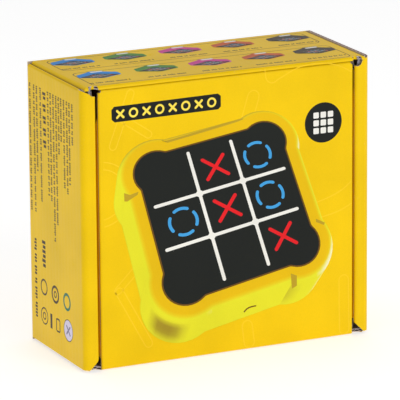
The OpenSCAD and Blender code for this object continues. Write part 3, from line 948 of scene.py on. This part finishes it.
def build_top_print():
    """Two rows of framed thumbnails of the unit in other colours, each with a line of small print."""
    art = Artwork("top_wall", "carton", Z, X, left=TOP_HALF - 63, top=1.5)
    tints = [((22, 132, 214), (8, 136, 218)), ((92, 154, 52), (72, 136, 40)),
             ((216, 70, 160), (206, 60, 146)), ((216, 108, 50), (206, 94, 40)), ((88, 76, 54), (60, 52, 42))]
    rows = (((4.5, 4.5, 121.5, 24.5), (13.8, 37.2, 62.3, 86.6, 112.2), 13.4, 21.8),
            ((5.0, 30.0, 121.0, 53.6), (14.1, 39.6, 63.8, 88.2, 111.7), 39.0, 49.8))
    for row, (box, columns, y, caption) in enumerate(rows):
        art.line("brown", round_box(*box, 3), 0.4, closed=True)
        for k, (x, (tint, dark)) in enumerate(zip(columns, tints)):
            shade = tinted_shade(linear(*tint), linear(*dark))
            draw_unit(art, (x, y), 0.132, 40 if row == 0 else 48, 153, -4, shade, fine=False)
            art.fill("white", capsule((x - 0.6, y - 7.4), (x + 3.4, y - 7.6), 1.6, 4), 12)
            art.words("umber", x - 9, caption, 18, 1.6, k + row)
    art.finish()


def build_side_print():
    """Columns of small print that read upward, and generic marks below them."""
    art = Artwork("left_outer_wall", "carton", -X, -Y, left=-1.5, top=1)
    columns = ((3.3, 63), (7.5, 62.5), (10.4, 45), (14.2, 57.5), (22, 53), (24.6, 54), (27.5, 71),
               (30.4, 64), (33, 33), (35.4, 27), (38.3, 46), (41.3, 48), (43.8, 43), (46.7, 26))
    for k, (x, end) in enumerate(columns):
        art.words("umber", x, 8.5, end - 8.5, 1.7, k + 1, upright=True)
    art.words("umber", 18.4, 9.6, 25, 3.4, 5, upright=True)
    art.words("umber", 6.6, 74, 35, 2.6, 3, upright=True)
    art.words("umber", 15.6, 73, 12, 3.8, 4, upright=True)
    art.ring("umber", 14.6, 93.0, 3.1, 0.8)
    art.ring("umber", 26.3, 93.2, 3.3, 1.1)
    art.ring("umber", 26.3, 93.2, 1.2, 0.6)
    art.ring("green", 38.3, 93.3, 3.2, 1.2)
    art.ring("umber", 14.6, 105.4, 3.4, 0.6)
    art.line("umber", disc(14.6, 105.4, 1.4, 16), 0.6, closed=True)
    art.fill("umber", rectangle(20.7, 102.6, 22.7, 108.9))
    art.line("umber", round_box(27, 103.2, 30.6, 108.4, 0.8, 3), 0.7, closed=True)
    art.fill("lilac", disc(39.3, 105.2, 4.6))
    art.ring("umber", 39.3, 105.2, 4.5, 0.35, 1)
    art.cross("grey", 39.3, 105.2, 1.7, 0.8, 1)
    art.finish()


def scatter_lines(art, width, height, seed, count):
    """Pale outlines of strokes and rings strewn over a panel, as on the lid."""
    dice = random.Random(seed)
    for k in range(count):
        x, y = dice.uniform(12, width - 12), dice.uniform(12, height - 12)
        if k % 2:
            art.line("pale", disc(x, y, dice.uniform(5, 8)), 0.42, closed=True)
        else:
            turn = dice.uniform(0, math.pi)
            dx, dy = 8 * math.cos(turn), 8 * math.sin(turn)
            art.line("pale", capsule((x - dx, y - dy), (x + dx, y + dy), 3.4), 0.42, closed=True)


def build_plain_prints():
    """The other faces: line art, a few lines of small print, and a plain frame of bars."""
    back = Artwork("base_panel", "carton", Y, -X)
    scatter_lines(back, 130, 119, 5, 9)
    for row in range(7):
        back.words("umber", 22, 30 + row * 5.2, 60 - 9 * (row % 3), 2.1, row + 2)
    for i in range(4):
        at = 72 + i * 9
        back.line("umber", [(86, at), (113, at)], 0.7)
        back.line("umber", [(86 + i * 9, 72), (86 + i * 9, 99)], 0.7)
    back.cross("umber", 90.5, 76.5, 2.2, 1.1)
    back.cross("umber", 99.5, 85.5, 2.2, 1.1)
    back.ring("umber", 108.5, 76.5, 2.6, 1.0)
    back.ring("umber", 90.5, 94.5, 2.6, 1.0)
    back.finish()

    right = Artwork("right_outer_wall", "carton", X, Y)
    scatter_lines(right, 53, 118, 8, 3)
    for row in range(6):
        right.words("umber", 12, 18 + row * 4.6, 30 - 6 * (row % 2), 1.9, row + 4)
    for k in range(16):
        x = 16 + k * 1.3
        right.fill("black", rectangle(x, 88, x + 0.35 + 0.28 * (k * 5 % 3), 100))
    right.finish()

    under = Artwork("bottom_wall", "carton", -Z, X)
    scatter_lines(under, 126, 52, 11, 4)
    under.finish()


build_lid_print()
build_top_print()
build_side_print()
build_plain_prints()


# ---------------------------------------------------------------- the game unit

def add_revolved(bm, profile, centre, axis="y", steps=32, index=0):
    """A closed solid of revolution about x or y. profile is (radius, place along the axis), end to end."""
    rings = []
    for r, h in profile:
        ring = []
        for i in range(steps):
            a = 2 * math.pi * i / steps
            c, s = r * math.cos(a), r * math.sin(a)
            ring.append(bm.verts.new(Vector(centre) + Vector((h, c, s) if axis == "x" else (c, h, s))))
        rings.append(ring)
    for f in join_rings(bm, rings):
        f.material_index = index


def add_tube(bm, path, radius):
    """A round wire along a path of points."""
    steps = 8
    rings = []
    for i, point in enumerate(path):
        before, after = path[max(0, i - 1)], path[min(len(path) - 1, i + 1)]
        along = (after - before).normalized()
        side = along.cross(Vector((0.31, 0.17, 0.93))).normalized()
        over = along.cross(side)
        rings.append([bm.verts.new(point + (side * math.cos(a) + over * math.sin(a)) * radius)
                      for a in (2 * math.pi * k / steps for k in range(steps))])
    list(join_rings(bm, rings))


def add_block(bm, x0, x1, y0, y1, z0, z1, bevel=0.0, index=0):
    """A block with chamfered edges."""
    made = bmesh.ops.create_cube(bm, size=1)
    for v in made["verts"]:
        v.co = Vector(((x0 + x1) / 2 + v.co.x * (x1 - x0), (y0 + y1) / 2 + v.co.y * (y1 - y0),
                       (z0 + z1) / 2 + v.co.z * (z1 - z0)))
    faces = dict.fromkeys(f for v in made["verts"] for f in v.link_faces)
    for f in faces:
        f.material_index = index
    if bevel:
        edges = list(dict.fromkeys(e for f in faces for e in f.edges))
        bmesh.ops.bevel(bm, geom=edges, offset=bevel, segments=2, affect="EDGES", profile=0.6)


UNIT_MIDDLE = 56.8
KEYS = [(column, row, x * KEY_PITCH, UNIT_MIDDLE - y * KEY_PITCH)
        for y, row in ((-1, "top"), (0, "middle"), (1, "bottom"))
        for x, column in ((-1, "left"), (0, "middle"), (1, "right"))]


def key_node(row, column):
    return "key_centre" if row == column == "middle" else f"key_{row}_{column}"


def black_material(name, roughness):
    """Black moulded plastic with a fine spark-eroded texture and faint finger marks."""
    shader = Shader(name)
    smear = shader.level(shader.noise(90, 4, 0.6), 0.42, 0.7)
    shader.colour(shader.mix(smear, linear(24, 26, 25), linear(34, 36, 35)))
    shader.rough(shader.level(smear, 0, 1, roughness, roughness + 0.14))
    shader.bump((shader.noise(3200, 3), 0.00002))
    return shader.material


def board_material():
    """Green solder mask over copper, which shows as paler tracks where the mask crosses it."""
    shader = Shader("solder_mask", roughness=0.3, Coat_Weight=0.3)
    cells = shader.tree.nodes.new("ShaderNodeTexBrick")
    shader.plug(cells.inputs["Vector"], shader.place)
    cells.inputs["Scale"].default_value = 130
    cells.inputs["Mortar Size"].default_value = 0.03
    shader.plug(cells.inputs["Color1"], linear(16, 84, 44))
    shader.plug(cells.inputs["Color2"], linear(20, 92, 50))
    shader.plug(cells.inputs["Mortar"], linear(34, 112, 62))
    blotches = shader.level(shader.noise(60, 3), 0.4, 0.7)
    shader.colour(shader.mix(blotches, cells.outputs["Color"], linear(14, 74, 40)))
    shader.bump((shader.noise(1200, 2), 0.00003))
    return shader.material


def two_part_material(name, axis, split_at, low_colour, high_colour, roughness, metallic):
    """One material for a part made of two stuffs that meet at a plane."""
    shader = Shader(name)
    place = shader.split(shader.place)[axis]
    over = shader.level(place, split_at - 0.00005, split_at + 0.00005)
    grain = shader.noise(1800, 3)
    shader.colour(shader.mix(1.0, shader.mix(over, low_colour, high_colour),
                             shader.grey(shader.level(grain, 0.2, 0.8, 0.9, 1.08)), "MULTIPLY"))
    shader.plug(shader.bsdf.inputs["Metallic"], shader.level(over, 0, 1, *metallic))
    shader.rough(shader.level(grain, 0.3, 0.7, roughness - 0.06, roughness + 0.08))
    shader.bump((grain, 0.00002))
    return shader.material


def glow_plastic(name, colour, strength):
    """A tinted window with a faint glow painted in, for the light from behind that comes through it."""
    shader = Shader(name)
    streak = shader.level(shader.noise(420, 3), 0.3, 0.7, 0.86, 1.06)
    tint = shader.mix(1.0, colour, shader.grey(streak), "MULTIPLY")
    shader.colour(tint)
    shader.plug(shader.bsdf.inputs["Emission Color"], tint)
    shader.bsdf.inputs["Emission Strength"].default_value = strength
    shader.rough(shader.level(shader.noise(900, 2), 0.3, 0.7, 0.22, 0.34))
    shader.bump((shader.noise(1500, 2), 0.00002))
    return shader.material


SHELL = plastic("shell_plastic", linear(240, 196, 12), 0.34)
# The windows over the crosses and rings glow faintly: painted light, since they are no lamps.
LENS = {"red": glow_plastic("red_window", linear(226, 26, 34), 0.12),
        "blue": glow_plastic("blue_window", linear(52, 146, 224), 0.12)}
STEEL = metal("screw_steel", linear(190, 190, 194), 0.28)
COPPER = metal("tinned_copper", linear(206, 198, 176), 0.3)
NICKEL = metal("nickel_contact", linear(204, 200, 190), 0.25)
RUBBER = plastic("foot_rubber", linear(52, 50, 48), 0.75, peel=0.00008)
BLACK_MATT = black_material("matt_black", 0.5)


def paint_nodes():
    """Finishes for the parts whose CAD shape is kept."""
    finishes = {
        "front_housing": SHELL, "rear_housing": SHELL,
        "face_plate": black_material("plate_black", 0.22),
        "grid_lines": plastic("line_white", linear(238, 236, 228), 0.35),
        "reflector_frame": plastic("reflector_white", linear(236, 234, 226), 0.55),
        "circuit_board": board_material(),
        "tact_switches": two_part_material("tact_switch", 1, -0.0036, linear(24, 24, 26),
                                           linear(186, 186, 188), 0.35, (0, 1)),
        "red_leds": glow_plastic("red_led", linear(236, 60, 50), 0.25),
        "blue_leds": glow_plastic("blue_led", linear(110, 170, 240), 0.25),
        "board_screws": STEEL, "housing_screws": STEEL, "door_screw": STEEL,
        "battery_plates": NICKEL,
        "power_slider": BLACK_MATT,
        "switch_body": two_part_material("slide_switch", 2, 0.1025, linear(176, 176, 180),
                                         linear(34, 34, 36), 0.35, (1, 0)),
        "rubber_feet": RUBBER,
    }
    key_black = black_material("key_black", 0.4)
    finishes.update({key_node(row, column): key_black for column, row, _, _ in KEYS})
    finishes.update({n: LENS["red"] for n in ("cross_top_middle", "cross_centre", "cross_bottom_right")})
    finishes.update({n: LENS["blue"] for n in ("ring_top_right", "ring_middle_left", "ring_middle_right")})
    for name, material in finishes.items():
        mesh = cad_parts[name].data
        mesh.materials.clear()
        mesh.materials.append(material)


def build_leaflet():
    """The instructions: one sheet folded four times, with generic print on its front."""
    low, high = (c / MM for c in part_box("leaflet"))
    bm = bmesh.new()
    sheets, gap = 5, (high.y - low.y) / 5
    for k in range(sheets):
        y0, y1 = low.y + k * gap + 0.03, low.y + (k + 1) * gap - 0.03
        inset = 0.25 * (k % 2)
        add_block(bm, low.x + inset, high.x - 0.3 * (k // 2), y0, y1, low.z + inset, high.z - 0.2 * k, 0.05)
    for k in range(sheets - 1):
        y0, y1 = low.y + k * gap + 0.08, low.y + (k + 2) * gap - 0.08
        add_block(bm, low.x + 0.3, high.x - 1.2, y0, y1, low.z + 0.05, low.z + 0.35, 0.05)
    paper = paper_material("leaflet_paper", linear(240, 238, 230), linear(224, 221, 212))
    finish_piece("leaflet_sheets", bm, "leaflet", [paper], ("leaflet",))

    ink = bmesh.new()
    plane = Matrix(((1, 0, 0, low.x), (0, 0, -1, low.y + 0.06), (0, 1, 0, low.z), (0, 0, 0, 1)))
    width = high.x - low.x

    def fill(outline):
        add_slab(ink, outline, 0, 0.05)

    for block in range(2):
        left = 8 + block * width / 2
        fill(rectangle(left, 86, left + 22, 89))
        for row in range(11):
            y, at, k = 80 - row * 3.2, left, row + block
            while at < left + 30:
                k = (k * 7 + 3) % 11
                fill(capsule((at, y), (min(at + 1.5 + k * 0.5, left + 32), y), 0.7, 3))
                at += 3.0 + k * 0.5
        # A small diagram of the nine squares
        for i in range(4):
            at = i * 9
            add_band(ink, [(left + 2 + at, 10), (left + 2 + at, 37)], 0.5, 0, 0.05)
            add_band(ink, [(left + 2, 10 + at), (left + 29, 10 + at)], 0.5, 0, 0.045)
    finish_piece("leaflet_print", ink, "leaflet", [INKS["black"]], plane=plane)


def build_springs():
    """Coil springs on the negative ends of the cells."""
    bm = bmesh.new()
    low, high = (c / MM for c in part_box("battery_springs"))
    y = (low.y + high.y) / 2
    reach, turns, steps = 5.0, 4.5, 90
    for k in range(3):
        z = high.z - 4.2 - k * 11.2
        side = 1 if k % 2 else -1
        start = side * (high.x - 0.5)
        path = []
        for i in range(steps + 1):
            t = i / steps
            r = 3.4 - 1.5 * t
            a = 2 * math.pi * turns * t
            path.append(Vector((start - side * reach * t, y + r * math.cos(a), z + r * math.sin(a))))
        add_tube(bm, path, 0.28)
    finish_piece("coil_springs", bm, "unit", [NICKEL], ("battery_springs",))


def build_batteries():
    """Three cells in a two-colour wrap, each with a cap nub and a bare negative end."""
    low, high = (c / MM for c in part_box("batteries"))
    body = bmesh.new()
    r = (high.y - low.y) / 2
    y = (low.y + high.y) / 2
    rows = [low.z + r, (low.z + high.z) / 2, high.z - r]
    length = 44.0
    for k, z in enumerate(rows):
        side = -1 if k % 2 else 1
        inner = side * (high.x - 0.15) - side * length
        band = [(r - 0.5, 0.25), (r - 0.12, 0.35), (r - 0.02, 0.8), (r - 0.02, 30), (r - 0.03, 30.02),
                (r - 0.02, length - 2.6), (r - 0.1, length - 2.1), (r - 1.0, length - 1.8)]
        for index, part in ((0, band[:4]), (1, band[4:])):
            add_revolved(body, [(radius, side * h) for radius, h in part], (inner, y, z), "x", 40, index)
        add_revolved(body, [(r - 1.2, 0), (r - 0.6, side * 0.4)], (inner, y, z), "x", 32, 2)
        add_revolved(body, [(2.7, side * (length - 1.9)), (2.6, side * (length - 0.2)), (2.3, side * length)],
                     (inner, y, z), "x", 32, 2)
    wrap_dark = plastic("cell_wrap_dark", linear(38, 40, 46), 0.28)
    wrap_gold = plastic("cell_wrap_copper", linear(196, 132, 60), 0.26, Metallic=0.6)
    finish_piece("cells", body, "unit", [wrap_dark, wrap_gold, NICKEL], ("batteries",))


def build_chip():
    """The controller in a flat package with two rows of leads, on its pads."""
    low, high = (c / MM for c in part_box("controller_chip"))
    bm = bmesh.new()
    add_block(bm, low.x + 1.6, high.x - 1.6, low.y + 0.15, high.y, low.z + 0.3, high.z - 0.3, 0.25)
    dot = (low.x + 2.8, 0, high.z - 1.6)
    add_revolved(bm, [(0.5, high.y - 0.02), (0.45, high.y)], dot, steps=16, index=1)
    count = 9
    for k in range(count):
        z = low.z + 1.0 + k * (high.z - low.z - 2.0) / (count - 1)
        for side in (-1, 1):
            x0, x1 = sorted((side * (high.x - 1.7), side * (high.x - 0.9)))
            add_block(bm, x0, x1, low.y + 0.55, low.y + 0.75, z - 0.22, z + 0.22, 0.05, 1)
            x0, x1 = sorted((side * (high.x - 0.95), side * high.x))
            add_block(bm, x0, x1, low.y, low.y + 0.7, z - 0.22, z + 0.22, 0.05, 1)
    finish_piece("controller_package", bm, "unit", [BLACK_MATT, COPPER], ("controller_chip",))


def build_tracks():
    """Copper tracks and pads on both faces of the circuit board, drawn with y and z swapped."""
    bm = bmesh.new()
    thick, film, sunk = 1.6, 0.04, 0.02

    for y0, y1 in ((-film, sunk), (thick - sunk, thick + film)):
        for k in range(8):
            z = UNIT_MIDDLE - 28 + k * 8.0
            reach = 38 - (k % 3) * 3
            for side in (-1, 1):
                start, bend = side * (9.5 + (k % 4)), 16 + k % 4
                path = [(start, z), (side * bend, z), (side * (bend + 2.4), z + 2.4), (side * reach, z + 2.4)]
                add_band(bm, path, 0.5, y0, y1)
                for end in (path[-1], path[0]):
                    add_slab(bm, disc(*end, 0.75, 14), y0, y1)
    plane = Matrix(((1, 0, 0, 0), (0, 0, 1, 0), (0, 1, 0, 0), (0, 0, 0, 1)))
    finish_piece("board_tracks", bm, "unit", [COPPER], plane=plane)


def build_speaker():
    """A small loudspeaker: steel basket, magnet, and a ribbed cone that faces the sound holes."""
    low, high = (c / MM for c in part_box("speaker"))
    r = (high.x - low.x) / 2
    middle = (0, 0, (low.z + high.z) / 2)
    pot = [(r * 0.46, low.y), (r * 0.5, low.y + 0.3), (r * 0.5, low.y + 2.4), (r * 0.56, low.y + 2.6)]
    basket = [(r * 0.60, low.y + 2.2), (r * 0.66, low.y + 2.5), (r * 0.94, high.y - 1.6), (r, high.y - 1.4),
              (r, high.y - 0.5), (r * 0.97, high.y - 0.4), (r * 0.9, high.y - 0.45)]
    ribs = [(r * 0.93, high.y - 0.6), (r * 0.93, high.y - 0.3), (r * 0.88, high.y - 0.05),
            (r * 0.83, high.y - 0.3), (r * 0.78, high.y - 0.1), (r * 0.72, high.y - 0.5),
            (r * 0.35, high.y - 2.0), (r * 0.30, high.y - 1.6), (r * 0.15, high.y - 1.1), (0.2, high.y - 1.0)]
    bm = bmesh.new()
    add_revolved(bm, pot, middle, steps=40, index=2)
    add_revolved(bm, basket, middle, steps=56, index=0)
    add_revolved(bm, ribs, middle, steps=56, index=1)
    cone = black_material("speaker_cone", 0.6)
    magnet = metal("magnet_steel", linear(120, 122, 126), 0.35)
    finish_piece("loudspeaker", bm, "unit", [NICKEL, cone, magnet], ("speaker",))


paint_nodes()
build_leaflet()
build_springs()
build_batteries()
build_chip()
build_tracks()
build_speaker()


# ---------------------------------------------------------------- stage, light and camera

def build_stage():
    bpy.ops.mesh.primitive_plane_add(size=6, location=(0, 0, 0))
    floor = bpy.context.object
    floor.name = "floor"
    shader = Shader("floor_paper", roughness=0.7)
    shader.colour(linear(214, 214, 214))
    shader.plug(shader.bsdf.inputs["Emission Color"], (1, 1, 1, 1))
    shader.plug(shader.bsdf.inputs["Emission Strength"], 0.56)
    floor.data.materials.append(shader.material)


def area_light(name, location, aim, size, power):
    lamp = bpy.data.lights.new(name, "AREA")
    lamp.shape, lamp.size, lamp.energy = "SQUARE", size, power
    rig = bpy.data.objects.new(name, lamp)
    rig.location = location
    rig.rotation_euler = (Vector(aim) - Vector(location)).to_track_quat("-Z", "Y").to_euler()
    bpy.context.collection.objects.link(rig)


def build_light():
    world = bpy.data.worlds.new("studio")
    bpy.context.scene.world = world
    world.use_nodes = True
    studio = world.node_tree.nodes["Background"]
    studio.inputs["Color"].default_value = (1, 1, 1, 1)
    path = world.node_tree.nodes.new("ShaderNodeLightPath")
    strength = world.node_tree.nodes.new("ShaderNodeMapRange")
    strength.inputs["To Min"].default_value = 0.47
    strength.inputs["To Max"].default_value = 1.06
    world.node_tree.links.new(path.outputs["Is Camera Ray"], strength.inputs["Value"])
    world.node_tree.links.new(strength.outputs[0], studio.inputs["Strength"])
    area_light("front_box", (0.25, -1.0, 0.55), (0, 0, 0.06), 0.7, 4.0)
    area_light("left_box", (-0.9, 0.1, 0.5), (0, 0, 0.06), 0.5, 0.5)
    area_light("top_box", (0.0, 0.25, 1.1), (0, 0, 0.1), 0.6, 1.6)
    bpy.context.scene.view_settings.view_transform = "Standard"


def build_camera():
    camera = bpy.data.cameras.new("camera")
    camera.lens, camera.sensor_width = 366.48, 36
    camera.clip_start, camera.clip_end = 0.05, 20
    rig = bpy.data.objects.new("camera", camera)
    rig.location = (-0.69305, -1.47945, 0.49118)
    rig.rotation_euler = [math.radians(a) for a in (75.170, 0.445, -25.228)]
    bpy.context.collection.objects.link(rig)
    bpy.context.scene.camera = rig


build_stage()
build_light()
build_camera()
